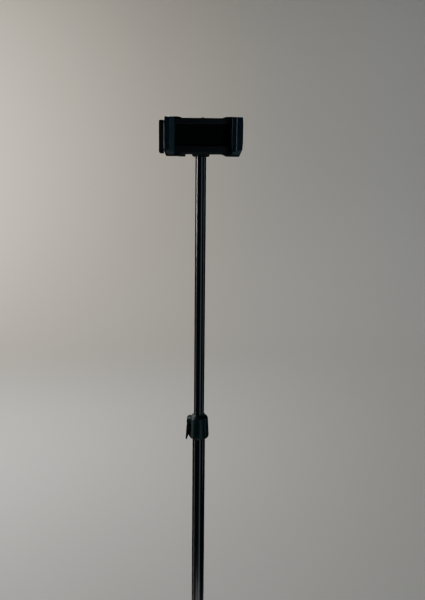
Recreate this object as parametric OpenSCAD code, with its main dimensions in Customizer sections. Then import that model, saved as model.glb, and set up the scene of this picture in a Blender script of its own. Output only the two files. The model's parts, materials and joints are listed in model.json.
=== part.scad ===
// Selfie stick: a sprung phone clamp on a tilting neck, a two-stage tube with a flip lock,
// and a handle whose lower end folds out into a tripod.
// Lengths are millimetres. The tube runs up the Z axis and the feet stand on z = 0.
// The phone's screen faces -Y, and the clamp's sliding jaw opens towards -X.

/* [Tubes] */
// Outer diameter of the upper tube
upper_tube_d = 11; // [10.8:0.1:11.1]
// Outer diameter of the lower tube
lower_tube_d = 13.6; // [13.4:0.1:13.8]
// Wall thickness of both tubes
tube_wall = 0.6; // [0.5:0.05:0.7]
// Length of upper tube that shows between the lock collar and the neck
exposed_len = 268.8; // [262:0.1:280]
// Length of upper tube that stays inside the lower tube when the stick is long
insert_len = 30.8; // [28:0.1:40]

/* [Lock collar] */
// Height of the collar's underside above the floor
collar_z = 415.6; // [400:0.1:430]
// Height of the collar
collar_h = 27.4; // [27:0.1:28]
// Radius of the collar at its foot
collar_r = 10.7; // [10.5:0.1:11]
// Radius of the collar under its shoulder
collar_top_r = 9.8; // [9.7:0.1:10]
// Width of the lever's finger plate
lever_w = 12.4; // [11.8:0.1:12.8]

/* [Handle] */
// Outer diameter of the handle and of the folded legs
handle_d = 31; // [30.8:0.1:31.4]
// Height of the handle's top above the floor
handle_top = 212; // [210:1:216]
// Height of the handle shells' lower edge
handle_z = 92.2; // [92.2:0.1:92.6]
// Wall thickness of the handle shells
handle_wall = 2.3; // [2.1:0.1:2.4]
// Lower end of the rubber grip
grip_z0 = 99.8; // [99:0.1:101]
// Upper end of the rubber grip
grip_z1 = 164.2; // [160:0.1:165]

/* [Tripod] */
// Height of the leg hinges above the floor
hinge_z = 70; // [69:0.5:71]
// Distance of the leg hinges from the tube's axis
hinge_r = 11.5; // [11.4:0.1:11.6]
// Length of a leg from its hinge to its tip
leg_len = 148; // [146:1:150]
// Angle of an open leg from the tube's axis
leg_open = 62; // [61:1:63]
// Play between two folded legs, for each leg
leg_play = 0.45; // [0.35:0.05:0.6]

/* [Phone clamp] */
// Height of the clamp's body
clamp_h = 33.6; // [33.4:0.1:34]
// Height of the two jaws, which hang a little lower than the body
jaw_h = 36.6; // [36.4:0.1:37]
// Inner edge of the sliding jaw's lip
slide_lip_x = -24.65; // [-25:0.05:-24]
// Inner edge of the fixed jaw's lip
fixed_lip_x = 30.05; // [29.5:0.05:30.5]
// How far a lip reaches over the phone
lip_reach = 4.7; // [4:0.1:5]
// Space for the phone between the body and the lips
phone_gap = 10; // [9:0.5:11]
// Thickness of the lips
lip_t = 4; // [3.5:0.5:4.5]

/* [Neck and knob] */
// Width of the neck across its two cheeks
neck_w = 17.3; // [17.1:0.1:17.5]
// Radius of the tilt knob
knob_r = 10.1; // [9.6:0.1:10.2]
// Height of the tilt axis above the neck's foot
tilt_rise = 10.1; // [10:0.1:10.4]

/* [Hidden] */
$fn = 64;
slim = 0.05;
lower_r = lower_tube_d / 2;
upper_r = upper_tube_d / 2;
lower_bore_r = lower_r - tube_wall;
upper_bore_r = upper_r - tube_wall;

// handle
handle_r = handle_d / 2;
cavity_r = handle_r - handle_wall;
grip_seat_r = handle_r - 0.8;
grip_r = handle_r + 0.9;
hub_top = handle_z - 0.2;
hub_foot = hinge_z - 4.4;
flange_z = [96, 100];
tube_foot = 84;
tube_pin_z = 88;
screw_x = 10;
screw_heights = [112, 194];
button_z = 190;
lens_z = 181;
switch_z = 171;
switch_travel = 3.5;
port_z = 176;
board_y = [-9.6, -8.6];

// tripod
leg_angles = [-90, 30, 150];
pin_r = 1;
leg_top = 6.4;
leg_shell_end = 130;
leg_in_r = 6.5;
leg_seat_r = handle_r - 1.2;
leg_pad_z = [14.2, 121.8];

// lock collar
collar_top = collar_z + collar_h;
lower_top = collar_top - 11.3;
lever_pin_x = -9.9;
lever_pin_z = collar_top - 6.4;
shoe_x = -6.85;
lug_y = [3.3, 5.8];
lug_r = 3.2;

// upper tube and neck
neck_z = collar_top + exposed_len;
upper_foot = lower_top - insert_len + 11.3;
tilt_z = neck_z + tilt_rise;
cheek_x = [4.7, neck_w / 2];
cheek_t = cheek_x[1] - cheek_x[0];
cheek_r = 6.5;
neck_floor = 3;
fork_depth = 16.4;
fork_corner = 1.8;
bolt_r = 2;
knob_x = [-23.8, -15.4];
boss_x = -9.1;

// clamp: y runs from the rear cover's back to the lips' front
head_z = tilt_z + 8.1;
body_z = [head_z - clamp_h / 2, head_z + clamp_h / 2];
jaw_drop = 0.45;
jaw_z = [head_z - jaw_drop - jaw_h / 2, head_z - jaw_drop + jaw_h / 2];
cover_y = [-12.5, -10.5];
frame_y = [-21, cover_y[0]];
lip_y = [frame_y[0] - phone_gap - lip_t, frame_y[0] - phone_gap];
slide_wall_x = slide_lip_x - lip_reach;
fixed_wall_x = fixed_lip_x + lip_reach;
slide_out_x = slide_wall_x - 4.7;
fixed_out_x = fixed_wall_x + 5.7;
body_x = [slide_out_x + 0.85, fixed_wall_x];
end_wall_x = [slide_out_x - 0.85, slide_out_x + 0.55];
pull_x = [slide_out_x - 6.35, slide_out_x - 1.85];
sleeve_gap = 0.3;
recess_x = [slide_lip_x, fixed_lip_x];
recess_z = [body_z[0] + 7.4, body_z[1] - 5.8];
recess_floor = frame_y[0] + 4;
rod_r = 1.1;
rod_y = -15;
rod_heights = [body_z[0] + 3.2, body_z[1] - 2.8];
channel_h = 2.05;
channel_x = [-26, 31];
washer_x = [25.5, 26.3];
swivel_r = 2.5;
clamp_screw_x = [-28.5, 32];
clamp_screw_dz = 7;

// ---- shared shapes ----

// The pair of values that lie d below and d above c
function around(c, d) = [c - d, c + d];

// Points along an arc, from angle a0 to angle a1
function arc(c, r, a0, a1, n = 8) =
    [for (i = [0:n]) c + r * [cos(a0 + (a1 - a0) * i / n), sin(a0 + (a1 - a0) * i / n)]];

// Box between two x, two y and two z values
module span_box(x, y, z) {
    translate([x[0], y[0], z[0]])
        cube([x[1] - x[0], y[1] - y[0], z[1] - z[0]]);
}

// Cylinder along X between two x values
module rod_along_x(r, x) {
    translate([x[0], 0, 0])
        rotate([0, 90, 0])
            cylinder(r = r, h = x[1] - x[0]);
}

// Cylinder along Y between two y values
module rod_along_y(r, y) {
    translate([0, y[0], 0])
        rotate([-90, 0, 0])
            cylinder(r = r, h = y[1] - y[0]);
}

// Plain cylinder along Z between two z values
module cylinder_z(r, z) {
    translate([0, 0, z[0]])
        cylinder(r = r, h = z[1] - z[0]);
}

// Tube along Z between two z values
module ring(r_out, r_in, z) {
    difference() {
        cylinder_z(r_out, z);
        cylinder_z(r_in, z + [-1, 1]);
    }
}

// An outline drawn in x and z, given depth between two y values
module plate(y) {
    translate([0, y[1], 0])
        rotate([90, 0, 0])
            linear_extrude(y[1] - y[0])
                children();
}

// Outline of a rectangle with round corners
module round_rect(x, z, r) {
    for (cx = [x[0] + r, x[1] - r], cz = [z[0] + r, z[1] - r])
        translate([cx, cz])
            circle(r);
    translate([x[0] + r, z[0]])
        square([x[1] - x[0] - 2 * r, z[1] - z[0]]);
    translate([x[0], z[0] + r])
        square([x[1] - x[0], z[1] - z[0] - 2 * r]);
}

// Pan-head screw along -Y with its head's seat at the origin, and a hex socket in the head
module screw_y(shaft_r, shaft_len, head_r, head_h) {
    difference() {
        union() {
            rod_along_y(shaft_r, [-shaft_len, 0.1]);
            rod_along_y(head_r, [0, head_h]);
        }
        translate([0, head_h + 0.1, 0])
            rotate([90, 0, 0])
                cylinder(r = head_r * 0.55, h = head_h * 0.7, $fn = 6);
    }
}

// ---- handle ----

// Both handle shells in one piece, before they are split at y = 0
module handle_body() {
    rotate_extrude()
        polygon(concat(
            [[11.1, handle_z], [handle_r, handle_z], [handle_r, grip_z0], [grip_seat_r, grip_z0],
             [grip_seat_r, grip_z1], [handle_r, grip_z1]],
            arc([handle_r - 6, handle_top - 7], 6, 0, 70),
            [[8.4, handle_top], [lower_r + slim, handle_top], [lower_r + slim, handle_top - 6],
             [cavity_r - 1, handle_top - 9], [cavity_r, handle_top - 12],
             [cavity_r, flange_z[0] - 0.1], [11.1, flange_z[0] - 0.1]]));
}

// Screw posts inside the handle, on one side of the split
module handle_posts(y) {
    intersection() {
        for (x = [-screw_x, screw_x], z = screw_heights)
            translate([x, 0, z])
                rod_along_y(2.7, y);
        cylinder(r = grip_seat_r - 0.3, h = handle_top);
    }
}

module handle_front_shell() {
    color("#1b1c1e")
        difference() {
            union() {
                intersection() {
                    handle_body();
                    span_box([-20, 20], [-20, 0], [0, handle_top + 1]);
                }
                handle_posts([-13, 0]);
            }
            for (x = [-screw_x, screw_x], z = screw_heights)
                translate([x, 0, z])
                    rod_along_y(0.95, [-8, 1]);
            translate([0, 0, button_z])
                rod_along_y(4.3, [-20, -8]);
            translate([0, 0, lens_z])
                rod_along_y(1.2, [-20, -8]);
            span_box([-1.65, 1.65], [-20, -8], [switch_z - 3, switch_z + 3 + switch_travel]);
        }
}

module handle_rear_shell() {
    color("#1b1c1e")
        difference() {
            union() {
                intersection() {
                    handle_body();
                    span_box([-20, 20], [0, 20], [0, handle_top + 1]);
                }
                handle_posts([0, 13]);
            }
            for (x = [-screw_x, screw_x], z = screw_heights)
                translate([x, 0, z]) {
                    rod_along_y(1.1, [-1, 5]);
                    rod_along_y(2.15, [3, 20]);
                }
            span_box([-4.2, 4.2], [8, 20], [port_z - 1.8, port_z + 1.8]);
        }
}

// Rubber sleeve with round ribs
module handle_grip() {
    rib_pitch = 6.4;
    ribs = round((grip_z1 - grip_z0) / rib_pitch);
    pitch = (grip_z1 - grip_z0) / ribs;
    color("#141414")
        rotate_extrude()
            polygon(concat(
                [[grip_seat_r, grip_z1], [grip_seat_r, grip_z0]],
                [for (i = [0:ribs - 1])
                    each arc([grip_r - 3, grip_z0 + (i + 0.5) * pitch], 3, -64, 64, 6)]));
}

module shell_screws() {
    color("#8d9094")
        for (x = [-screw_x, screw_x], z = screw_heights)
            translate([x, 3, z])
                screw_y(0.95, 10, 2, 1.6);
}

module circuit_board() {
    color("#1f5a38") {
        span_box([-5.5, 5.5], board_y, [118, 200]);
        span_box([-2.2, 2.2], [-10.2, board_y[0]], [button_z - 2.2, button_z + 2.2]);
        span_box([-3, 3], [-10.3, board_y[0]], [switch_z - 4, switch_z + 6]);
        span_box([-3.5, 3.5], [-10.6, board_y[0]], [140, 147]);
    }
}

module battery_cell() {
    color("#6f7f8f")
        translate([0, 11.6, 0])
            rotate([90, 0, 0])
                linear_extrude(4.3)
                    round_rect([-5.2, 5.2], [104, 108 + 46], 1);
}

module charge_socket() {
    color("#a6a9ad")
        difference() {
            union() {
                span_box([-3.9, 3.9], [9.6, 15.1], [port_z - 1.5, port_z + 1.5]);
                span_box([-5.2, 5.2], [8.8, 9.6], [port_z - 6, port_z + 6]);
            }
            span_box([-3.5, 3.5], [10.4, 16], [port_z - 1.1, port_z - 0.3]);
            span_box([-3.5, 3.5], [10.4, 16], [port_z + 0.3, port_z + 1.1]);
            span_box([-3.5, -2.9], [10.4, 16], [port_z - 1.1, port_z + 1.1]);
            span_box([2.9, 3.5], [10.4, 16], [port_z - 1.1, port_z + 1.1]);
        }
}

module status_lens() {
    color("#7fa8c8")
        translate([0, 0, lens_z])
            rod_along_y(1.2, [-15.6, -10]);
}

// Rides in the front shell and presses the switch on the board
module shutter_button() {
    color("#2a2b2d")
        translate([0, 0, button_z]) {
            rod_along_y(4.2, [-16.9, -11.8]);
            rod_along_y(4.9, [-11.9, -11.1]);
        }
}

module power_switch() {
    color("#2a2b2d")
        difference() {
            union() {
                span_box([-1.5, 1.5], [-16.5, -11.5], [switch_z - 2.8, switch_z + 2.8]);
                span_box([-2.6, 2.6], [-12, -11.1], [switch_z - 4.2, switch_z + 4.2]);
            }
            for (dz = [-1.5, 0, 1.5])
                span_box([-2, 2], [-17, -16.1], [switch_z + dz - 0.3, switch_z + dz + 0.3]);
        }
}

// ---- tripod ----

// Moves a shape drawn about a leg's hinge to that leg
module at_leg(angle) {
    rotate([0, 0, angle])
        translate([hinge_r, 0, hinge_z])
            children();
}

module tripod_hub() {
    color("#1b1c1e")
        difference() {
            union() {
                cylinder_z(handle_r, [hub_foot, hub_top]);
                cylinder_z(11, [hub_top - 1, flange_z[0] + 1]);
                cylinder_z(cavity_r - 0.1, flange_z);
            }
            cylinder_z(lower_r, [tube_foot, flange_z[1] + 1]);
            translate([0, 0, tube_pin_z])
                rod_along_x(pin_r, [-20, 20]);
            for (a = leg_angles)
                at_leg(a) {
                    span_box([-3.9, 8], [-3.65, 3.65], [-8, 4.2]);
                    rod_along_y(pin_r, [-14, 14]);
                }
        }
}

module leg_pins() {
    color("#9a9da1")
        for (a = leg_angles)
            at_leg(a)
                rod_along_y(pin_r, [-9, 9]);
}

// Third of a ring round the folded legs' axis, from r_in to r_out
module leg_sector(r_in, r_out, z) {
    apex = leg_play / sin(60);
    reach = 2 * handle_r;
    translate([-hinge_r, 0, z[0]])
        linear_extrude(z[1] - z[0])
            intersection() {
                difference() {
                    circle(r_out);
                    circle(r_in);
                }
                polygon([[apex, 0],
                    [apex + reach * cos(60), reach * sin(60)],
                    [apex + reach * cos(60), -reach * sin(60)]]);
            }
}

// Leg hanging straight down from its hinge, turned out to its open angle
module open_leg(i) {
    at_leg(leg_angles[i])
        rotate([0, -leg_open, 0])
            children();
}

module leg_shell(i) {
    color("#1b1c1e")
        open_leg(i)
            difference() {
                union() {
                    leg_sector(leg_in_r, leg_seat_r, [-leg_shell_end, -leg_top]);
                    leg_sector(leg_in_r, handle_r, [-leg_pad_z[0], -leg_top]);
                    leg_sector(leg_in_r, handle_r, [-leg_shell_end, -leg_pad_z[1]]);
                    rod_along_y(3.6, [-3.5, 3.5]);
                    span_box([-3.6, 3.6], [-3.5, 3.5], [-9, 0]);
                }
                rod_along_y(pin_r + 0.06, [-5, 5]);
                span_box([-7, 0.5], [-3.6, 3.6], [-124, -17]);
            }
}

module leg_grip(i) {
    color("#141414")
        open_leg(i)
            leg_sector(leg_seat_r, handle_r, [-leg_pad_z[1], -leg_pad_z[0]]);
}

module leg_foot(i) {
    floor_reach = 2 * leg_len;
    color("#0f0f10")
        difference() {
            open_leg(i)
                leg_sector(leg_in_r, handle_r, [-leg_len, -leg_shell_end]);
            span_box([-floor_reach, floor_reach], [-floor_reach, floor_reach], [-40, 0]);
        }
}

// ---- lower tube and lock ----

module lower_tube() {
    color("#26282c")
        difference() {
            ring(lower_r, lower_bore_r, [tube_foot, lower_top]);
            translate([0, 0, tube_pin_z])
                rod_along_x(pin_r, [-20, 20]);
        }
}

module tube_pin() {
    color("#9a9da1")
        translate([0, 0, tube_pin_z])
            rod_along_x(pin_r, [-14.8, 14.8]);
}

// Barrel with a domed shoulder, round foot and a step in its bore for the two tubes
module collar_barrel() {
    foot_round = 3.6;
    dome = 5.2;
    rotate_extrude()
        polygon(concat(
            [[lower_r, collar_z], [collar_r - foot_round, collar_z]],
            arc([collar_r - foot_round, collar_z + foot_round + 0.8], foot_round, -72, 0, 6),
            arc([collar_top_r - dome, collar_top - dome - 0.3], dome, 0, 68, 8),
            [[upper_r + 0.9, collar_top], [upper_r + slim, collar_top],
             [upper_r + slim, lower_top + slim], [lower_r, lower_top + slim]]));
}

module lock_collar() {
    color("#232a2d")
        difference() {
            union() {
                collar_barrel();
                for (side = [-1, 1])
                    translate([lever_pin_x, side * (lug_y[0] + lug_y[1]) / 2, lever_pin_z]) {
                        rod_along_y(lug_r, [-1.25, 1.25]);
                        span_box([0, 3], [-1.25, 1.25], [-lug_r, lug_r]);
                    }
            }
            span_box([-15, -5], [-lug_y[0], lug_y[0]], [lever_pin_z - 4, lever_pin_z + 3.8]);
            span_box([-15, shoe_x], [-lug_y[0], lug_y[0]], [lever_pin_z - 8, lever_pin_z + 3.8]);
            cylinder_z(upper_r + slim, [lower_top, collar_top + 1]);
            translate([lever_pin_x, 0, lever_pin_z])
                rod_along_y(pin_r, [-8, 8]);
            translate([0, 0, collar_z + 8])
                rod_along_y(1.5, [0, 12]);
        }
}

// Pad that the lever's cam presses against the upper tube
module lock_shoe() {
    color("#3a3a3a")
        difference() {
            span_box([shoe_x, -5.05], [-3.2, 3.2], [lever_pin_z - 3.8, lever_pin_z + 3.6]);
            cylinder_z(upper_r + slim, [lower_top, collar_top + 1]);
        }
}

module lever_pin() {
    color("#9a9da1")
        translate([lever_pin_x, 0, lever_pin_z])
            rod_along_y(pin_r, [-lug_y[1], lug_y[1]]);
}

module collar_screw() {
    color("#8d9094")
        translate([0, 0, collar_z + 8])
            difference() {
                rod_along_y(1.5, [lower_r + slim, 9.9]);
                translate([0, 10, 0])
                    rotate([90, 0, 0])
                        cylinder(r = 0.85, h = 1.6, $fn = 6);
            }
}

// Finger lever: a cam between the lugs, and a thick plate that wraps the collar's side.
// The plate's lower end turns outwards, so that a fingertip gets behind it
module lock_lever() {
    tip_z = collar_z + 1;
    plate_top = lever_pin_z - 3.6;
    out_x = lever_pin_x - 3.2;
    color("#111213")
        difference() {
            union() {
                translate([lever_pin_x, 0, lever_pin_z]) {
                    rod_along_y(2.9, [-3, 3]);
                    translate([0.35, 0, 0])
                        rod_along_y(2.55, [-3, 3]);
                }
                plate([-3, 3])
                    polygon([[lever_pin_x, lever_pin_z + 2.9], [lever_pin_x - 2.9, lever_pin_z + 1.2],
                        [out_x, lever_pin_z - 8], [lever_pin_x - 1.4, lever_pin_z - 8]]);
                plate(around(0, lever_w / 2))
                    polygon([[out_x + 0.1, plate_top], [out_x - 0.4, plate_top - 7],
                        [out_x - 0.8, tip_z + 3], [out_x - 0.9, tip_z + 0.8], [out_x - 0.5, tip_z],
                        [out_x + 0.3, tip_z + 0.2], [out_x + 0.9, tip_z + 1.5],
                        [-collar_r - 0.2, tip_z + 5], [-8.8, tip_z + 7], [-8.8, plate_top]]);
            }
            cylinder_z(collar_r + 0.25, [collar_z - 1, plate_top + 0.01]);
            translate([lever_pin_x, 0, lever_pin_z])
                rod_along_y(pin_r + 0.06, [-4, 4]);
        }
}

// ---- upper tube and neck ----

module upper_tube() {
    color("#26282c")
        ring(upper_r, upper_bore_r, [upper_foot, neck_z - 0.1]);
}

module tube_bushing() {
    color("#3c3f42")
        ring(lower_bore_r - slim, upper_r, [upper_foot, lower_top - 1]);
}

module top_plug() {
    color("#85888c")
        ring(upper_bore_r, 1.5, [neck_z - 16, neck_z - 0.1]);
}

module pan_screw() {
    color("#8d9094")
        difference() {
            union() {
                cylinder_z(1.5, [neck_z - 14, neck_z + 1.6]);
                cylinder_z(3, [neck_z + 1.45, neck_z + 2.8]);
            }
            translate([0, 0, neck_z + 1.8])
                cylinder(r = 1.6, h = 2, $fn = 6);
        }
}

// Fork that turns on the tube's top and holds the tilt bolt between two cheeks.
// Its underside is round about the tilt axis, with a short boss that meets the tube
module neck_fork() {
    color("#1f2022")
        difference() {
            union() {
                intersection() {
                    union() {
                        span_box(around(0, cheek_x[1]), around(0, fork_depth / 2),
                            [neck_z, neck_z + neck_floor]);
                        for (side = [-1, 1])
                            translate([side * (cheek_x[0] + cheek_x[1]) / 2, 0, 0]) {
                                span_box(around(0, cheek_t / 2), around(0, cheek_r), [neck_z, tilt_z]);
                                translate([0, 0, tilt_z])
                                    rod_along_x(cheek_r, around(0, cheek_t / 2));
                            }
                    }
                    translate([0, 0, tilt_z])
                        rod_along_x(tilt_rise, around(0, cheek_x[1]));
                    plate(around(0, fork_depth / 2))
                        round_rect(around(0, cheek_x[1]), [neck_z, tilt_z + 10], fork_corner);
                }
                cylinder_z(upper_r + 0.2, [neck_z, neck_z + neck_floor]);
            }
            cylinder_z(1.56, [neck_z - 1, neck_z + 5]);
            cylinder_z(3.1, [neck_z + 1.4, neck_z + 5]);
            translate([0, 0, tilt_z])
                rod_along_x(bolt_r + slim, [-12, 12]);
            translate([cheek_x[0] + 1.5, 0, tilt_z])
                rotate([0, 90, 0])
                    cylinder(r = 4.1, h = 12, $fn = 6);
            span_box([-cheek_x[0], cheek_x[0]], [-12, 12], [neck_z + neck_floor, tilt_z + 12]);
        }
}

module tilt_nut() {
    color("#9a9da1")
        translate([cheek_x[0] + 1.55, 0, tilt_z])
            rotate([0, 90, 0])
                difference() {
                    cylinder(r = 4.05, h = 2.3, $fn = 6);
                    translate([0, 0, -1])
                        cylinder(r = bolt_r + slim, h = 5);
                }
}

module tilt_washer() {
    color("#9a9da1")
        translate([0, 0, tilt_z])
            difference() {
                rod_along_x(4.6, [boss_x + slim, -cheek_x[1] - slim]);
                rod_along_x(bolt_r + slim, [-12, -6]);
            }
}

module tilt_bolt() {
    color("#9a9da1")
        translate([0, 0, tilt_z])
            rod_along_x(bolt_r, [knob_x[0] + 3, cheek_x[1]]);
}

module tilt_knob() {
    flutes = 14;
    color("#161718")
        translate([0, 0, tilt_z])
            difference() {
                union() {
                    rod_along_x(knob_r - 0.8, [knob_x[0], knob_x[1]]);
                    rod_along_x(knob_r, [knob_x[0] + 0.8, knob_x[1] - 0.8]);
                    rod_along_x(4.4, [knob_x[1] - 1, boss_x]);
                }
                rod_along_x(bolt_r, [knob_x[0] + 3, 0]);
                rod_along_x(6.4, [knob_x[0] - 1, knob_x[0] + 1]);
                for (i = [0:flutes - 1])
                    rotate([i * 360 / flutes, 0, 0])
                        translate([0, 0, knob_r + 0.6])
                            rod_along_x(1.3, [knob_x[0] - 1, knob_x[1] + 1]);
            }
}

// Eye on the tilt bolt, and the disc that the clamp swivels on
module tilt_bracket() {
    disc_y = [cover_y[1] + 0.1, -7.4];
    eye_x = cheek_x[0] - 0.15;
    color("#1f2022")
        difference() {
            union() {
                translate([0, 0, tilt_z])
                    rod_along_x(6.3, [-eye_x, eye_x]);
                translate([-eye_x, 0, 0])
                    rotate([90, 0, 90])
                        linear_extrude(2 * eye_x)
                            polygon([[-7.6, tilt_z - 5], [-3.8, tilt_z - 5], [0, tilt_z],
                                [0, tilt_z + 6], [-5, tilt_z + 10.4], [-7.6, tilt_z + 10.4]]);
                translate([0, 0, head_z])
                    rod_along_y(9, [disc_y[0], disc_y[1]]);
            }
            translate([0, 0, tilt_z])
                rod_along_x(bolt_r + slim, [-12, 12]);
            translate([0, 0, head_z])
                rod_along_y(swivel_r, [-12, -8]);
        }
}

module swivel_screw() {
    color("#8d9094")
        translate([0, -13.1, head_z])
            mirror([0, 1, 0])
                screw_y(swivel_r, 5.1, 3.6, 2);
}

module swivel_washer() {
    color("#9a9da1")
        translate([0, 0, head_z])
            difference() {
                rod_along_y(4.6, [-13.1, cover_y[0] - slim]);
                rod_along_y(swivel_r, [-14, -12]);
            }
}

// ---- phone clamp ----

module clamp_front_frame() {
    color("#1d1e20")
        difference() {
            union() {
                plate(frame_y)
                    round_rect(body_x, body_z, 1.6);
                span_box([0.4, 3.4], [-19, -16], [body_z[1] - 1, body_z[1] + 0.7]);
            }
            plate([frame_y[0] - 1, recess_floor])
                round_rect(recess_x, recess_z, 1.2);
            span_box([-20, 25], [recess_floor + 1.2, 0], recess_z + [2, -2]);
            for (z = rod_heights) {
                span_box(channel_x, [rod_y - channel_h, 0], around(z, channel_h));
                translate([0, rod_y, z])
                    rod_along_x(rod_r + 0.06, [body_x[0] - 1, 0]);
            }
            for (x = clamp_screw_x, z = around(head_z, clamp_screw_dz))
                translate([x, 0, z])
                    rod_along_y(0.95, [-17, -10]);
        }
}

module clamp_rear_cover() {
    color("#1d1e20")
        difference() {
            plate(cover_y)
                round_rect(body_x, body_z, 1.6);
            translate([0, 0, head_z])
                rod_along_y(swivel_r + 0.06, [-14, -9]);
            for (x = clamp_screw_x, z = around(head_z, clamp_screw_dz))
                translate([x, 0, z]) {
                    rod_along_y(1.05, [-14, -9]);
                    rod_along_y(1.95, [cover_y[1] - 1.2, -9]);
                }
        }
}

module clamp_screws() {
    color("#8d9094")
        for (x = clamp_screw_x, z = around(head_z, clamp_screw_dz))
            translate([x, cover_y[1] - 1.2, z])
                screw_y(0.95, 5, 1.8, 1.1);
}

// Rubber sheet with ribs on the floor of the recess
module back_pad() {
    pad_z = recess_z + [0.4, -0.4];
    ribs = 9;
    pitch = (pad_z[1] - pad_z[0]) / ribs;
    color("#0b0b0c") {
        plate([recess_floor - 0.6, recess_floor])
            round_rect(recess_x + [0.4, -0.4], pad_z, 1);
        for (i = [0:ribs - 1])
            span_box(recess_x + [1.5, -1.5], [recess_floor - 1, recess_floor - 0.5],
                around(pad_z[0] + (i + 0.5) * pitch, 0.5));
    }
}

// Outline of a jaw seen from the front, with its outer lower corner cut off.
// side is -1 on the left and 1 on the right
module jaw_outline(x_in, x_out, side) {
    bulge = 0.4;
    polygon([[x_in, jaw_z[0]], [x_out - side * 2.6, jaw_z[0]], [x_out - side * 0.4, jaw_z[0] + 5],
        [x_out, jaw_z[0] + 12], [x_out, jaw_z[1] - 8], [x_out - side * bulge, jaw_z[1] - 1],
        [x_out - side * (bulge + 1), jaw_z[1]], [x_in, jaw_z[1]]]);
}

// Top and bottom flanges of a jaw, whose free ends slope down to the clamp's body
module jaw_flange(x_root, x_tip, slope, inner) {
    for (edge = [[head_z - inner, jaw_z[0]], [head_z + inner, jaw_z[1]]])
        plate([frame_y[0] - 0.3, cover_y[1]])
            polygon([[x_root, edge[0]], [x_root, edge[1]], [x_tip, edge[1]], [x_tip + slope, edge[0]]]);
}

// Hooked part of a jaw: a wall along the phone's edge, and a lip that thins towards its tip
// from a small ridge in front of the wall. Its front slopes back at the top and the bottom
module jaw_hook(side, x_lip, x_wall, x_out, back_y) {
    foot_slope = [3.2, 4];
    top_slope = [13, 2.1];
    top_edge = 1;
    tip_t = 2.6;
    ridge = 0.5;
    intersection() {
        translate([0, 0, jaw_z[0]])
            linear_extrude(jaw_h)
                polygon([[x_out, back_y], [x_wall, back_y], [x_wall, lip_y[1]], [x_lip, lip_y[1]],
                    [x_lip, lip_y[1] - tip_t], [x_wall - side * ridge, lip_y[0] + ridge],
                    [x_wall, lip_y[0]], [x_out, lip_y[0]]]);
        plate([lip_y[0], back_y])
            jaw_outline(x_lip, x_out, side);
        translate([-60, 0, 0])
            rotate([90, 0, 90])
                linear_extrude(120)
                    polygon([[lip_y[0], jaw_z[0] + foot_slope[1]], [lip_y[0] + foot_slope[0], jaw_z[0]],
                        [back_y, jaw_z[0]], [back_y, jaw_z[1]], [lip_y[0] + top_slope[0], jaw_z[1]],
                        [lip_y[0] + top_edge, jaw_z[1] - top_slope[1]],
                        [lip_y[0], jaw_z[1] - top_slope[1] - top_edge]]);
    }
}

module fixed_jaw() {
    color("#191a1b")
        difference() {
            union() {
                jaw_hook(1, fixed_lip_x, fixed_wall_x, fixed_out_x, cover_y[1]);
                jaw_flange(fixed_wall_x + 1, 25, -4, clamp_h / 2);
            }
            translate([0, -25.7, 0])
                span_box([fixed_wall_x - 1, fixed_wall_x + 0.5], [-4.2, 4.2], body_z + [1, -1]);
        }
}

module fixed_jaw_pad() {
    color("#0b0b0c")
        translate([0, -25.7, 0])
            span_box([fixed_wall_x - 0.6, fixed_wall_x + 0.5], [-4.2, 4.2], body_z + [1, -1]);
}

module sliding_jaw() {
    color("#191a1b")
        difference() {
            union() {
                jaw_hook(-1, slide_lip_x, slide_wall_x, slide_out_x, frame_y[0] - 0.3);
                plate([frame_y[0] - 1.3, cover_y[1]])
                    polygon([[end_wall_x[0], jaw_z[0] + 4], [end_wall_x[0] + 1.2, jaw_z[0]],
                        [end_wall_x[1], jaw_z[0]], [end_wall_x[1], jaw_z[1]],
                        [end_wall_x[0] + 0.6, jaw_z[1]], [end_wall_x[0], jaw_z[1] - 1]]);
                jaw_flange(end_wall_x[0] + 1.2, -22, 3.5, clamp_h / 2 + sleeve_gap);
            }
            translate([0, -25.7, 0])
                span_box([slide_wall_x - 0.5, slide_wall_x + 1], [-4.2, 4.2], body_z + [1, -1]);
            for (z = rod_heights)
                translate([0, rod_y, z])
                    rod_along_x(rod_r, [-40, -30]);
        }
}

module sliding_jaw_pad() {
    color("#0b0b0c")
        translate([0, -25.7, 0])
            span_box([slide_wall_x - 0.5, slide_wall_x + 0.6], [-4.2, 4.2], body_z + [1, -1]);
}

module guide_rods() {
    color("#9a9da1")
        for (z = rod_heights)
            translate([0, rod_y, z])
                rod_along_x(rod_r, [pull_x[0] + 2, washer_x[1] + 0.7]);
}

module rod_washers() {
    color("#9a9da1")
        for (z = rod_heights)
            translate([0, rod_y, z])
                difference() {
                    rod_along_x(1.95, washer_x);
                    rod_along_x(rod_r, washer_x + [-1, 1]);
                }
}

// Finger plate on the rods' outer ends
module pull_plate() {
    color("#191a1b")
        difference() {
            plate([-19.5, cover_y[1]])
                round_rect(pull_x, body_z + [0.5, -2], 1.2);
            for (z = rod_heights)
                translate([0, rod_y, z])
                    rod_along_x(rod_r, [pull_x[0] + 2, 0]);
        }
}

// Coil spring along X, as one closed sweep of a round wire
module coil_spring(length, coil_r, wire_r, turns) {
    steps = 10;
    sides = 5;
    rings = turns * steps;
    points = [for (i = [0:rings], k = [0:sides - 1])
        let (a = i * 360 / steps, b = k * 360 / sides, r = coil_r + wire_r * cos(b))
        [wire_r + (length - 2 * wire_r) * i / rings + wire_r * sin(b), r * cos(a), r * sin(a)]];
    walls = [for (i = [0:rings - 1], k = [0:sides - 1])
        let (n = (k + 1) % sides)
        each [[i * sides + k, (i + 1) * sides + k, (i + 1) * sides + n],
            [i * sides + k, (i + 1) * sides + n, i * sides + n]]];
    ends = [[for (k = [0:sides - 1]) k], [for (k = [sides - 1:-1:0]) rings * sides + k]];
    polyhedron(points, concat(walls, ends));
}

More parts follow.
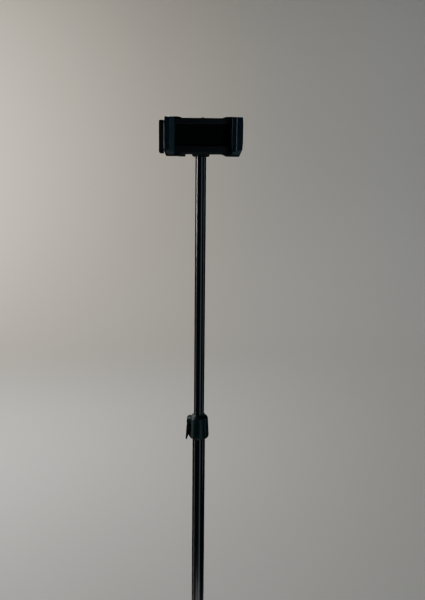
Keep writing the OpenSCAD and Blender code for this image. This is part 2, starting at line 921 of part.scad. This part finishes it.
module rod_springs() {
    color("#a6a9ad")
        for (z = rod_heights)
            translate([channel_x[0] + slim, rod_y, z])
                coil_spring(washer_x[0] - channel_x[0] - 2 * slim, 1.55, 0.3, 13);
}

handle_front_shell();
handle_rear_shell();
handle_grip();
shell_screws();
circuit_board();
battery_cell();
charge_socket();
status_lens();
tripod_hub();
leg_pins();
lower_tube();
tube_pin();
lock_collar();
lock_shoe();
lever_pin();
collar_screw();
shutter_button();
power_switch();
lock_lever();
leg_shell(0);  // leg_shell_1
leg_shell(1);  // leg_shell_2
leg_shell(2);  // leg_shell_3
leg_grip(0);  // leg_grip_1
leg_grip(1);  // leg_grip_2
leg_grip(2);  // leg_grip_3
leg_foot(0);  // leg_foot_1
leg_foot(1);  // leg_foot_2
leg_foot(2);  // leg_foot_3
upper_tube();
tube_bushing();
top_plug();
pan_screw();
neck_fork();
tilt_nut();
tilt_washer();
tilt_knob();
tilt_bolt();
tilt_bracket();
swivel_screw();
swivel_washer();
clamp_front_frame();
clamp_rear_cover();
back_pad();
clamp_screws();
fixed_jaw();
fixed_jaw_pad();
sliding_jaw();
sliding_jaw_pad();
guide_rods();
rod_washers();
rod_springs();
pull_plate();
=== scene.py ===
"""Looks of a selfie stick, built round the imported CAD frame. Lengths are metres, in the frame's axes."""

import json
import math

import bmesh
import bpy
from mathutils import Matrix, Quaternion, Vector


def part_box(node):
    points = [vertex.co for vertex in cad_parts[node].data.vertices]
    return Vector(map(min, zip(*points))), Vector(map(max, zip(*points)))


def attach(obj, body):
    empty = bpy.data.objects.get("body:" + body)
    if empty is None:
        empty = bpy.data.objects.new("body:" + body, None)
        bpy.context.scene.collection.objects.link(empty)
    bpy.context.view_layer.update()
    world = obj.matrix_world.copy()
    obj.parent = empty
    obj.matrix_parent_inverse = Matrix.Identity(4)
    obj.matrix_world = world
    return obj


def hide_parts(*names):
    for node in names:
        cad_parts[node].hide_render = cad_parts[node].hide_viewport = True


MM = 0.001
TAU = 2 * math.pi

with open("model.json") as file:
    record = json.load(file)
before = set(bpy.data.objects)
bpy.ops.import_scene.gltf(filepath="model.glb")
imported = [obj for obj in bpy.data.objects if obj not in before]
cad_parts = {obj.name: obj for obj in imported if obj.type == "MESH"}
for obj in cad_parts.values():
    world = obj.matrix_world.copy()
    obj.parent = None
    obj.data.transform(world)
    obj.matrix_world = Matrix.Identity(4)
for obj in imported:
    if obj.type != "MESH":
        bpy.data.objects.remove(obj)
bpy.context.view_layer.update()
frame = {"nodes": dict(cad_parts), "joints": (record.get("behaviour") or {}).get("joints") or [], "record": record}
nodes = frame["nodes"]
joints = {j["name"]: j for j in frame["joints"]}
bodies = frame["record"]["behaviour"]["bodies"]
body_of = {node: body for body, members in bodies.items() for node in members}


# ---------------------------------------------------------------- materials

def new_material(name, color, rough, **sockets):
    """A Principled material, its node tree and its shader. Numbers that hold all over go on the sockets."""
    material = bpy.data.materials.new(name)
    material.use_nodes = True
    shader = material.node_tree.nodes["Principled BSDF"]
    shader.inputs["Base Color"].default_value = (*color, 1)
    shader.inputs["Roughness"].default_value = rough
    for socket, value in sockets.items():
        shader.inputs[socket.replace("_", " ")].default_value = value
    return material, material.node_tree, shader


def add_node(tree, kind, **settings):
    node = tree.nodes.new(kind)
    for key, value in settings.items():
        setattr(node, key, value)
    return node


def noise(tree, scale, detail=3.0, stretch=(1, 1, 1)):
    """Noise in object space: scale is in cycles a metre before the stretch."""
    place = add_node(tree, "ShaderNodeTexCoord")
    mapping = add_node(tree, "ShaderNodeMapping")
    mapping.inputs["Scale"].default_value = stretch
    texture = add_node(tree, "ShaderNodeTexNoise")
    texture.inputs["Scale"].default_value = scale
    texture.inputs["Detail"].default_value = detail
    tree.links.new(place.outputs["Object"], mapping.inputs["Vector"])
    tree.links.new(mapping.outputs["Vector"], texture.inputs["Vector"])
    return texture.outputs["Fac"]


def spread(tree, value, low, high, start=0.3, end=0.7):
    """A value between start and end becomes one between low and high."""
    node = add_node(tree, "ShaderNodeMapRange")
    node.inputs["From Min"].default_value = start
    node.inputs["From Max"].default_value = end
    node.inputs["To Min"].default_value = low
    node.inputs["To Max"].default_value = high
    tree.links.new(value, node.inputs["Value"])
    return node.outputs["Result"]


def two_tone(tree, factor, first, second):
    """Colour between first and second by factor."""
    node = add_node(tree, "ShaderNodeMix", data_type="RGBA")
    node.inputs[6].default_value = (*first, 1)
    node.inputs[7].default_value = (*second, 1)
    tree.links.new(factor, node.inputs["Factor"])
    return node.outputs[2]


def add_bump(tree, shader, height, strength, distance):
    node = add_node(tree, "ShaderNodeBump")
    node.inputs["Strength"].default_value = strength
    node.inputs["Distance"].default_value = distance
    tree.links.new(height, node.inputs["Height"])
    tree.links.new(node.outputs["Normal"], shader.inputs["Normal"])


def edge_wear(tree, amount):
    """0 on flat areas, up to amount on rubbed convex edges, broken up by noise."""
    geometry = add_node(tree, "ShaderNodeNewGeometry")
    edges = spread(tree, geometry.outputs["Pointiness"], 0, amount, 0.53, 0.62)
    patches = spread(tree, noise(tree, 260, 4), 0, 1, 0.42, 0.66)
    product = add_node(tree, "ShaderNodeMath", operation="MULTIPLY")
    tree.links.new(edges, product.inputs[0])
    tree.links.new(patches, product.inputs[1])
    return product.outputs["Value"]


def plastic(name, color, worn, rough, grain, **sockets):
    """Moulded plastic: fine grain, patchy sheen, and a lighter rubbed colour along its edges."""
    material, tree, shader = new_material(name, color, rough[0], **{"Specular_IOR_Level": 0.25, **sockets})
    tree.links.new(two_tone(tree, edge_wear(tree, 0.7), color, worn), shader.inputs["Base Color"])
    tree.links.new(spread(tree, noise(tree, 90, 5), *rough), shader.inputs["Roughness"])
    add_bump(tree, shader, noise(tree, 3200, 2), grain, 0.00006)
    return material


def lacquer(name, color, dust):
    """Gloss lacquer on a drawn tube: faint streaks along it and a little dust."""
    material, tree, shader = new_material(name, color, 0.2, Specular_IOR_Level=0.3)
    streaks = noise(tree, 900, 4, (1, 1, 0.02))
    tree.links.new(spread(tree, streaks, 0.12, 0.22), shader.inputs["Roughness"])
    tree.links.new(two_tone(tree, spread(tree, noise(tree, 150, 6), 0, 0.5), color, dust),
                   shader.inputs["Base Color"])
    add_bump(tree, shader, streaks, 0.04, 0.00003)
    return material


def rubber(name, color, dust, rough=(0.7, 0.9)):
    material, tree, shader = new_material(name, color, rough[0], Specular_IOR_Level=0.2)
    tree.links.new(two_tone(tree, spread(tree, noise(tree, 70, 6), 0, 0.8), color, dust),
                   shader.inputs["Base Color"])
    tree.links.new(spread(tree, noise(tree, 120, 4), *rough), shader.inputs["Roughness"])
    add_bump(tree, shader, noise(tree, 1500, 4), 0.35, 0.0001)
    return material


def metal(name, color, dull, rough, stretch):
    """Machined metal, with tool marks drawn out along one way."""
    material, tree, shader = new_material(name, color, rough[0], Metallic=1.0)
    marks = noise(tree, 1400, 3, stretch)
    tree.links.new(two_tone(tree, spread(tree, noise(tree, 300, 4), 0, 1), color, dull),
                   shader.inputs["Base Color"])
    tree.links.new(spread(tree, marks, *rough), shader.inputs["Roughness"])
    add_bump(tree, shader, marks, 0.12, 0.00002)
    return material


def board_laminate(name):
    """Green solder mask, a little lighter over the copper runs under it."""
    green, pale_green, copper_green = (0.02, 0.11, 0.05), (0.025, 0.16, 0.07), (0.05, 0.22, 0.1)
    material, tree, shader = new_material(name, green, 0.35, Coat_Weight=0.4)
    place = add_node(tree, "ShaderNodeTexCoord")
    runs = add_node(tree, "ShaderNodeTexBrick", offset=0.5)
    runs.inputs["Scale"].default_value = 320
    runs.inputs["Color1"].default_value = (*green, 1)
    runs.inputs["Color2"].default_value = (*pale_green, 1)
    runs.inputs["Mortar"].default_value = (*copper_green, 1)
    tree.links.new(place.outputs["Object"], runs.inputs["Vector"])
    tree.links.new(runs.outputs["Color"], shader.inputs["Base Color"])
    tree.links.new(spread(tree, noise(tree, 400, 3), 0.3, 0.45), shader.inputs["Roughness"])
    return material


def clear_lens(name):
    material, tree, shader = new_material(
        name, (0.32, 0.5, 0.62), 0.12, Transmission_Weight=0.5, IOR=1.49)
    tree.links.new(spread(tree, noise(tree, 900, 3), 0.08, 0.22), shader.inputs["Roughness"])
    return material


SATIN = plastic("satin_black", (0.0028, 0.0036, 0.0048), (0.012, 0.014, 0.016), (0.34, 0.46), 0.10)
JAW = plastic("jaw_blue_black", (0.0008, 0.0045, 0.0095), (0.008, 0.013, 0.018), (0.36, 0.48), 0.10,
              Specular_Tint=(0.62, 0.9, 1, 1))
# A lighter copy of the jaws' blue-black. This is painted light: it makes up for the shade that falls on the
# set-back pull plate.
PLATE_PAINTED_LIGHT = plastic("plate_blue_black_painted_light", (0.0045, 0.0105, 0.0145), (0.014, 0.018, 0.022), (0.36, 0.48), 0.10)
MATTE = plastic("matte_black", (0.0045, 0.005, 0.006), (0.02, 0.021, 0.023), (0.5, 0.62), 0.22)
COLLAR = plastic("collar_black", (0.0024, 0.0052, 0.006), (0.016, 0.022, 0.024), (0.34, 0.44), 0.2,
                 Specular_IOR_Level=0.2, Specular_Tint=(0.7, 0.98, 1, 1))
GLOSS = plastic("gloss_black", (0.0018, 0.0018, 0.0022), (0.008, 0.008, 0.009), (0.22, 0.32), 0.04)
NYLON = plastic("dark_nylon", (0.1, 0.105, 0.11), (0.16, 0.165, 0.17), (0.5, 0.62), 0.15)
TUBE = lacquer("tube_lacquer", (0.0022, 0.0024, 0.003), (0.006, 0.0064, 0.007))
RUBBER = rubber("black_rubber", (0.006, 0.006, 0.0065), (0.014, 0.014, 0.014))
PAD = rubber("recess_rubber", (0.0012, 0.0012, 0.0014), (0.0025, 0.0025, 0.0028), (0.8, 0.95))
STEEL = metal("turned_steel", (0.5, 0.51, 0.53), (0.36, 0.37, 0.39), (0.22, 0.4), (1, 1, 0.1))
BLACK_STEEL = metal("blackened_steel", (0.05, 0.051, 0.054), (0.03, 0.03, 0.032), (0.3, 0.45), (1, 1, 1))
ALUMINIUM = metal("aluminium", (0.62, 0.63, 0.65), (0.5, 0.51, 0.53), (0.25, 0.42), (1, 1, 0.1))
BOARD = board_laminate("solder_mask")
FOIL = plastic("cell_wrap", (0.14, 0.2, 0.28), (0.2, 0.26, 0.34), (0.25, 0.4), 0.1)
LENS = clear_lens("status_lens")


# ---------------------------------------------------------------- mesh helpers

SHARP = 32  # degrees between two faces, above which their edge is a real one


def new_object(name, bm, material):
    """An object made from a bmesh, which is used up."""
    mesh = bpy.data.meshes.new(name)
    bm.to_mesh(mesh)
    bm.free()
    mesh.materials.append(material)
    obj = bpy.data.objects.new(name, mesh)
    bpy.context.scene.collection.objects.link(obj)
    return obj


def weighted(obj, angle):
    """Smooth shading that breaks at edges sharper than angle degrees. Wide faces decide the normals,
    so flats stay flat up to their rounded edges."""
    obj.data.shade_smooth()
    obj.data.set_sharp_from_angle(angle=math.radians(angle))
    modifier = obj.modifiers.new("face_weighted_normals", "WEIGHTED_NORMAL")
    modifier.keep_sharp = True


def make(name, bm, material, body, stands_for=(), angle=SHARP):
    """Turns a bmesh into a piece that rides on a body and stands for the CAD nodes given."""
    bmesh.ops.recalc_face_normals(bm, faces=bm.faces)
    obj = new_object(name, bm, material)
    weighted(obj, angle)
    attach(obj, body)
    if stands_for:
        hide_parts(*stands_for)


def lathe(profile, segments=96, axis="Z", centre=(0, 0, 0), radius_at=None):
    """Turns a closed outline of (radius, height) points round an axis. radius_at(r, a) may shape it."""
    bm = bmesh.new()
    turn = {"Z": Matrix.Identity(4),
            "X": Matrix.Rotation(math.pi / 2, 4, "Y"),
            "Y": Matrix.Rotation(-math.pi / 2, 4, "X")}[axis]
    place = Matrix.Translation(centre) @ turn
    rings = []
    for i in range(segments):
        a = TAU * i / segments
        ring = []
        for r, h in profile:
            reach = radius_at(r, a) if radius_at else r
            ring.append(bm.verts.new(place @ Vector((reach * math.cos(a), reach * math.sin(a), h))))
        rings.append(ring)
    count = len(profile)
    for i in range(segments):
        here, there = rings[i], rings[(i + 1) % segments]
        for k in range(count):
            n = (k + 1) % count
            bm.faces.new((here[k], here[n], there[n], there[k]))
    bmesh.ops.remove_doubles(bm, verts=bm.verts, dist=1e-7)
    return bm


def fillet(corner, radius, a0, a1, steps=4):
    """Points round a corner: centre of the round, its radius and its first and last angle in degrees."""
    return [(corner[0] + radius * math.cos(math.radians(a0 + (a1 - a0) * i / steps)),
             corner[1] + radius * math.sin(math.radians(a0 + (a1 - a0) * i / steps)))
            for i in range(steps + 1)]


def from_cad(node, soften, segments):
    """A copy of a CAD node's mesh with its flat faces joined and its edges rounded by soften metres."""
    weld, flat = 2e-6, math.radians(0.4)
    bm = bmesh.new()
    bm.from_mesh(nodes[node].data)
    bmesh.ops.remove_doubles(bm, verts=bm.verts, dist=weld)
    bmesh.ops.dissolve_limit(bm, angle_limit=flat, verts=bm.verts, edges=bm.edges)
    bm.normal_update()
    sharp = [e for e in bm.edges if e.is_manifold and e.calc_face_angle(0) > math.radians(SHARP)]
    bmesh.ops.bevel(bm, geom=sharp, offset=soften, offset_type="OFFSET", segments=segments, profile=0.5,
                    affect="EDGES", clamp_overlap=True, harden_normals=False)
    return bm


def soften_node(node, material, soften, segments=3):
    """Replaces a CAD node by its own shape with rounded edges."""
    bm = from_cad(node, soften, segments)
    make(node + "_finish", bm, material, body_of[node], (node,))


def dress(node, material):
    """Keeps a CAD node and gives it a finished material."""
    data = nodes[node].data
    data.materials.clear()
    data.materials.append(material)
    weighted(nodes[node], 30)


def add_loft(bm, loops):
    """Skins closed loops of points that all have the same number of points, and caps both ends."""
    rings = [[bm.verts.new(p) for p in loop] for loop in loops]
    for first, second in zip(rings, rings[1:]):
        for k in range(len(first)):
            n = (k + 1) % len(first)
            bm.faces.new((first[k], first[n], second[n], second[k]))
    bm.faces.new(rings[0])
    bm.faces.new(rings[-1])


def loft(loops):
    """A new mesh with one loft in it."""
    bm = bmesh.new()
    add_loft(bm, loops)
    return bm


def rounded_loop(x, z, radius, y, per_corner=8):
    """Loop round a rectangle with round corners, in the plane at y."""
    corners = [(x[1] - radius, z[1] - radius, 0), (x[0] + radius, z[1] - radius, 90),
               (x[0] + radius, z[0] + radius, 180), (x[1] - radius, z[0] + radius, 270)]
    points = []
    for cx, cz, start in corners:
        for i in range(per_corner + 1):
            a = math.radians(start + 90 * i / per_corner)
            points.append(Vector((cx + radius * math.cos(a), y, cz + radius * math.sin(a))))
    return points


def shrunk(span, by):
    return (span[0] + by, span[1] - by)


# ---------------------------------------------------------------- tubes and collar

def tube_piece(node, material):
    """A drawn tube with its two ends broken by a small round."""
    low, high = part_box(node)
    wall, edge = 0.6 * MM, 0.2 * MM
    outer = high.x
    inner = outer - wall
    profile = (fillet((outer - edge, high.z - edge), edge, 0, 90, 3)
               + fillet((inner + edge, high.z - edge), edge, 90, 180, 3)
               + fillet((inner + edge, low.z + edge), edge, 180, 270, 3)
               + fillet((outer - edge, low.z + edge), edge, 270, 360, 3))
    make(node + "_finish", lathe(profile, 128), material, body_of[node], (node,))


tube_piece("lower_tube", TUBE)
tube_piece("upper_tube", TUBE)
soften_node("lock_collar", COLLAR, 0.35 * MM)
soften_node("lock_lever", GLOSS, 0.45 * MM)


# ---------------------------------------------------------------- clamp

def frame_loops(x, z, hole_x, hole_z, front, back, floor):
    """Loops from the frame's back, over its round front edge and the recess's lip, down to the floor."""
    corner, edge, lip = 1.7 * MM, 1.2 * MM, 0.5 * MM
    loops = [rounded_loop(x, z, corner, back)]
    for i in range(6):
        a = math.radians(90 * i / 5)
        inset = edge * (1 - math.cos(a))
        loops.append(rounded_loop(shrunk(x, inset), shrunk(z, inset), corner,
                                  front + edge * (1 - math.sin(a))))
    for i in range(5):
        a = math.radians(90 * i / 4)
        inset = -lip * (1 - math.sin(a))
        loops.append(rounded_loop(shrunk(hole_x, inset), shrunk(hole_z, inset), corner,
                                  front + lip * (1 - math.cos(a))))
    loops.append(rounded_loop(hole_x, hole_z, corner, floor))
    return loops


def nub_loops(front, top):
    """Loops of the small round nub on the frame's top, which starts a little below the surface."""
    x, y = (0.4 * MM, 3.4 * MM), (front + 2 * MM, front + 5 * MM)
    corner = 0.5 * MM
    loops = []
    for rise, inset in ((-0.4, 0), (0.3, 0), (0.55, 0.1), (0.7, 0.4)):
        outline = rounded_loop(shrunk(x, inset * MM), shrunk(y, inset * MM), corner, 0, 4)
        loops.append([Vector((p.x, p.z, top + rise * MM)) for p in outline])
    return loops


def frame_piece():
    """Front frame with the recess for the back pad, and the nub on its top."""
    low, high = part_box("clamp_front_frame")
    cover_low, cover_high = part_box("clamp_rear_cover")
    pad_low, pad_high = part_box("back_pad")
    gap = 0.4 * MM
    x, z = (cover_low.x, cover_high.x), (cover_low.z, cover_high.z)
    hole_x = (pad_low.x - gap, pad_high.x + gap)
    hole_z = (pad_low.z - gap, pad_high.z + gap)
    bm = loft(frame_loops(x, z, hole_x, hole_z, low.y, high.y, pad_high.y))
    add_loft(bm, nub_loops(low.y, z[1]))
    make("clamp_front_frame_finish", bm, SATIN, "clamp", ("clamp_front_frame",))


frame_piece()
soften_node("fixed_jaw", JAW, 0.45 * MM)
soften_node("sliding_jaw", JAW, 0.45 * MM)
# The pull plate's lighter blue-black is painted light against the shade that it sits in.
soften_node("pull_plate", PLATE_PAINTED_LIGHT, 0.4 * MM)
soften_node("clamp_rear_cover", MATTE, 0.4 * MM)
soften_node("back_pad", PAD, 0.15 * MM, 2)
soften_node("fixed_jaw_pad", PAD, 0.2 * MM, 2)
soften_node("sliding_jaw_pad", PAD, 0.2 * MM, 2)


# ---------------------------------------------------------------- neck

soften_node("neck_fork", MATTE, 0.4 * MM)
soften_node("tilt_bracket", MATTE, 0.4 * MM)


def knob_piece():
    """Tilt knob: fluted rim with rounded lands, a dished outer face and a plain boss."""
    low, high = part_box("tilt_knob")
    centre_z = (low.z + high.z) / 2
    reach = (high.z - low.z) / 2
    flutes = 14
    face, rim_back = low.x, low.x + 8.4 * MM
    edge, inner_edge, dish = 1.0 * MM, 0.6 * MM, 1 * MM
    flute_depth = 0.75 * MM
    profile = ([(0, face + dish), (reach - 3.4 * MM, face + dish)]
               + fillet((reach - 2.4 * MM, face + inner_edge), inner_edge, 180, 270, 3)
               + fillet((reach - edge, face + edge), edge, -90, 0, 5)
               + fillet((reach - edge, rim_back - edge), edge, 0, 90, 5)
               + fillet((5 * MM, rim_back + inner_edge), inner_edge, 270, 180, 3)
               + [(4.4 * MM, high.x - 0.3 * MM), (4.1 * MM, high.x), (0, high.x)])

    def fluted(r, a):
        wave = 0.5 - 0.5 * math.cos(a * flutes)
        share = min(1, max(0, (r - reach + 3 * MM) / (2 * MM)))
        return r - flute_depth * wave ** 1.6 * share

    bm = lathe(profile, flutes * 12, "X", (0, 0, centre_z), fluted)
    make("tilt_knob_finish", bm, MATTE, "tilt_knob", ("tilt_knob",), 40)


knob_piece()


# ---------------------------------------------------------------- handle

soften_node("handle_front_shell", MATTE, 0.25 * MM)
soften_node("handle_rear_shell", MATTE, 0.25 * MM)
soften_node("tripod_hub", MATTE, 0.35 * MM)
soften_node("power_switch", SATIN, 0.12 * MM, 2)


def grip_piece():
    """Rubber sleeve: round ribs, each one cut by fine grooves along the handle."""
    low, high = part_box("handle_grip")
    outer, inner = high.x, 14.72 * MM
    ribs, steps, rib_depth = 10, 10, 1.45 * MM
    grooves, groove_depth = 36, 0.3 * MM
    pitch = (high.z - low.z) / ribs
    profile = [(inner, high.z), (inner, low.z)]
    for rib in range(ribs):
        for i in range(steps + (rib == ribs - 1)):
            t = i / steps
            swell = math.sin(math.pi * t) ** 0.7
            profile.append((outer - rib_depth + rib_depth * swell, low.z + (rib + t) * pitch))

    def grooved(r, a):
        cut = max(0.0, math.cos(a * grooves)) ** 6
        share = min(1, max(0, (r - outer + 0.7 * MM) / (0.5 * MM)))
        return r - groove_depth * cut * share

    make("handle_grip_finish", lathe(profile, grooves * 8, radius_at=grooved), RUBBER, "handle",
         ("handle_grip",), 60)


grip_piece()


def button_piece():
    """Shutter button: a dished cap with a fine ring round it."""
    low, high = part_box("shutter_button")
    centre = Vector((0, 0, (low.z + high.z) / 2))
    front, back = low.y, high.y
    r, flange = 4.2 * MM, high.x
    edge, dish_share, dish_depth, steps = 0.5 * MM, 0.78, 0.45 * MM, 8
    dish = [(r * dish_share * i / steps, front + dish_depth * (1 - (i / steps) ** 2))
            for i in range(steps + 1)]
    profile = (dish + fillet((r - edge, front + edge), edge, -90, 0, 4)
               + [(r, back - 0.9 * MM), (flange, back - 0.85 * MM), (flange, back), (0, back)])
    make("shutter_button_finish", lathe(profile, 72, "Y", centre), SATIN, "shutter_button",
         ("shutter_button",))


button_piece()


# ---------------------------------------------------------------- tripod legs

LEG_OPEN = math.radians(62)


def arc_point(radius, angle, offset, z):
    """Point on a leg's round section, whose centre lies offset inwards of the hinge."""
    return Vector((radius * math.cos(angle) - offset, radius * math.sin(angle), z))


def leg_grip_loop(z, t, offset):
    """Outline of the strip at height z, a share t of the way up: its outer face, then its back."""
    outer, inner, half = 15.5 * MM, 14.32 * MM, math.radians(57.4)
    across, grooves = 28, 22
    groove_depth, edge_depth = 0.35 * MM, 0.3 * MM
    groove = max(0.0, math.cos(TAU * t * grooves)) ** 4 * (0.03 < t < 0.97)
    end = min(1, min(t, 1 - t) * 60)
    points = []
    for k in range(across + 1):
        share = 2 * k / across - 1
        side = min(1, (1 - abs(share)) * 12)
        cut = groove_depth * groove * side + edge_depth * (1 - side) + edge_depth * (1 - end)
        points.append(arc_point(outer - cut, half * share, offset, z))
    for k in range(across, -1, -4):
        points.append(arc_point(inner, half * (2 * k / across - 1), offset, z))
    return points


def leg_grip_piece(index):
    """Rubber strip on a leg's outer face, crossed by shallow grooves."""
    hinge = Vector(joints[f"leg_{index}_fold"]["pos_m"])
    azimuth = math.atan2(hinge.y, hinge.x)
    place = (Matrix.Translation(hinge) @ Matrix.Rotation(azimuth, 4, "Z")
             @ Matrix.Rotation(-LEG_OPEN, 4, "Y"))
    offset = hinge.to_2d().length
    top, foot = -14.4 * MM, -121.6 * MM
    along = 150
    loops = []
    for i in range(along + 1):
        z = foot + (top - foot) * i / along
        t = (z - foot) / (top - foot)
        loops.append([place @ p for p in leg_grip_loop(z, t, offset)])
    node = f"leg_grip_{index}"
    make(node + "_finish", loft(loops), RUBBER, f"leg_{index}", (node,), 50)


for leg in (1, 2, 3):
    soften_node(f"leg_shell_{leg}", MATTE, 0.4 * MM)
    soften_node(f"leg_foot_{leg}", RUBBER, 0.9 * MM, 4)
    leg_grip_piece(leg)


# ---------------------------------------------------------------- CAD nodes that stay

for name, material in {
    "shell_screws": STEEL, "charge_socket": STEEL, "leg_pins": STEEL, "tube_pin": STEEL,
    "lever_pin": BLACK_STEEL, "collar_screw": BLACK_STEEL, "pan_screw": STEEL, "tilt_nut": BLACK_STEEL,
    "tilt_washer": STEEL, "tilt_bolt": STEEL, "swivel_screw": STEEL, "swivel_washer": STEEL,
    "clamp_screws": BLACK_STEEL, "guide_rods": STEEL, "rod_washers": STEEL, "rod_springs": STEEL,
    "top_plug": ALUMINIUM, "tube_bushing": NYLON, "lock_shoe": NYLON, "circuit_board": BOARD,
    "battery_cell": FOIL, "status_lens": LENS,
}.items():
    dress(name, material)


# ---------------------------------------------------------------- stage, light and camera

def stage_sheet(name, outline, half, material, mirrored):
    """A sheet along an outline of (y, z) points. Gloss reflects it only where mirrored is set:
    black edges stay crisp against a wall that they don't mirror."""
    bm = bmesh.new()
    rows = [[bm.verts.new((x, y, z)) for x in (-half, half)] for y, z in outline]
    for first, second in zip(rows, rows[1:]):
        bm.faces.new((first[0], first[1], second[1], second[0]))
    obj = new_object(name, bm, material)
    obj.data.shade_smooth()
    obj.visible_glossy = mirrored


def backdrop():
    """Pale floor that sweeps up into a far wall of the same colour. A patch of floor under the
    object lies a hair higher, and is mirrored in what faces down."""
    pale, paler = (0.5, 0.49, 0.47), (0.515, 0.503, 0.48)
    material, tree, shader = new_material("pale_backdrop", pale, 0.9, Specular_IOR_Level=0.1)
    tone = two_tone(tree, spread(tree, noise(tree, 0.5, 2), 0, 1), pale, paler)
    tree.links.new(tone, shader.inputs["Base Color"])
    floor, near, far, sweep, top = -0.1 * MM, -5.0, 3.6, 1.5, 5.0
    half_width, patch = 6.0, 0.3
    outline = [(near, floor), (far - sweep, floor)]
    outline += [(far - sweep + sweep * math.sin(math.radians(a)),
                 floor + sweep - sweep * math.cos(math.radians(a))) for a in range(5, 91, 5)]
    outline.append((far, top))
    stage_sheet("backdrop", outline, half_width, material, False)
    stage_sheet("floor_patch", [(-patch, 0.0), (patch, 0.0)], patch, material, True)


def area_light(name, place, aim, size, watts, color, beam=180, gloss_only=False):
    """A soft box. beam is the angle that it shines into; gloss_only leaves out all but its reflection."""
    light = bpy.data.lights.new(name, "AREA")
    light.shape = "RECTANGLE"
    light.size, light.size_y = size
    light.energy = watts
    light.color = color
    light.spread = math.radians(beam)
    obj = bpy.data.objects.new(name, light)
    obj.location = place
    obj.rotation_euler = (Vector(aim) - Vector(place)).to_track_quat("-Z", "Y").to_euler()
    obj.visible_diffuse = not gloss_only
    bpy.context.scene.collection.objects.link(obj)


def room_light():
    """Pale surroundings to look at, which light the object only a little."""
    pale, dim = (0.25, 0.25, 0.25, 1), (0.03, 0.034, 0.038, 1)
    world = bpy.data.worlds.new("room")
    world.use_nodes = True
    tree = world.node_tree
    output = tree.nodes["World Output"]
    seen = tree.nodes["Background"]
    seen.inputs["Color"].default_value = pale
    lit = add_node(tree, "ShaderNodeBackground")
    lit.inputs["Color"].default_value = dim
    ray = add_node(tree, "ShaderNodeLightPath")
    either = add_node(tree, "ShaderNodeMixShader")
    tree.links.new(ray.outputs["Is Camera Ray"], either.inputs[0])
    tree.links.new(lit.outputs[0], either.inputs[1])
    tree.links.new(seen.outputs[0], either.inputs[2])
    tree.links.new(either.outputs[0], output.inputs["Surface"])
    bpy.context.scene.world = world


def lighting():
    """A window on the left, a weak one on the right, and soft boxes for the wall, the front and the back.
    The gloss-only boxes are reflections: the two low ones carry the tubes' streaks on down, and the two
    glows stand for the floor and the wall in the few faces that mirror them."""
    warm, day, cool, blue = (1.0, 0.91, 0.76), (1.0, 0.99, 0.97), (0.78, 0.88, 1.0), (0.62, 0.86, 1.0)
    area_light("wall_wash", (-2.9, 2.1, 1.6), (-1.0, 3.5, 0.4), (1.2, 1.6), 60, warm, 125)
    area_light("wall_fill", (1.6, 1.2, 2.6), (0.7, 3.6, 0.1), (1.6, 1.2), 10, cool, 120)
    area_light("window_left", (-2.4, -0.27, 1.15), (0, 0, 1.1), (0.2, 1.4), 13, day, 90)
    area_light("window_left_low", (-2.4, -0.27, -1.1), (0, 0, -1.1), (0.24, 3.0), 6, day, 120, True)
    area_light("window_right", (2.4, -0.3, 0.5), (0, 0, 0.5), (0.3, 2.6), 2.6, blue, 90)
    area_light("soft_front", (0.5, -1.1, 0.55), (0, 0, 0.5), (0.42, 0.9), 2.8, blue)
    area_light("soft_front_low", (0.5, -1.1, -0.85), (0, 0, -0.85), (0.42, 1.9), 5, blue, 180, True)
    area_light("soft_back", (-1.3, 0.7, 1.1), (-0.6, 0.9, 0), (0.8, 0.8), 12, day, 120)
    area_light("head_back", (-0.6, 1.5, 1.9), (0, 0, 0.74), (0.4, 0.4), 2, day, 30)
    area_light("floor_glow", (0, -0.23, 0.02), (0, -0.229, 1), (0.36, 0.2), 0.48, day, 180, True)
    area_light("wall_glow", (0.35, 3.5, 1.05), (0, 0, 0.72), (0.5, 0.8), 2.6, day, 180, True)


def camera():
    """Same viewing angle as the reference: a little above the clamp's foot, looking slightly down."""
    axis_distance, height, side = 617 * MM, 662.2 * MM, 13.2 * MM
    pitch, roll = math.radians(8.81), math.radians(0.62)
    data = bpy.data.cameras.new("camera")
    data.sensor_fit = "AUTO"
    data.sensor_width = 36
    data.lens = 36
    data.clip_start = 0.01
    obj = bpy.data.objects.new("camera", data)
    aim = Quaternion((1, 0, 0), math.pi / 2 - pitch) @ Quaternion((0, 0, 1), roll)
    obj.rotation_mode = "QUATERNION"
    obj.rotation_quaternion = aim
    obj.location = (side, -axis_distance, height)
    bpy.context.scene.collection.objects.link(obj)
    bpy.context.scene.camera = obj


backdrop()
room_light()
lighting()
camera()
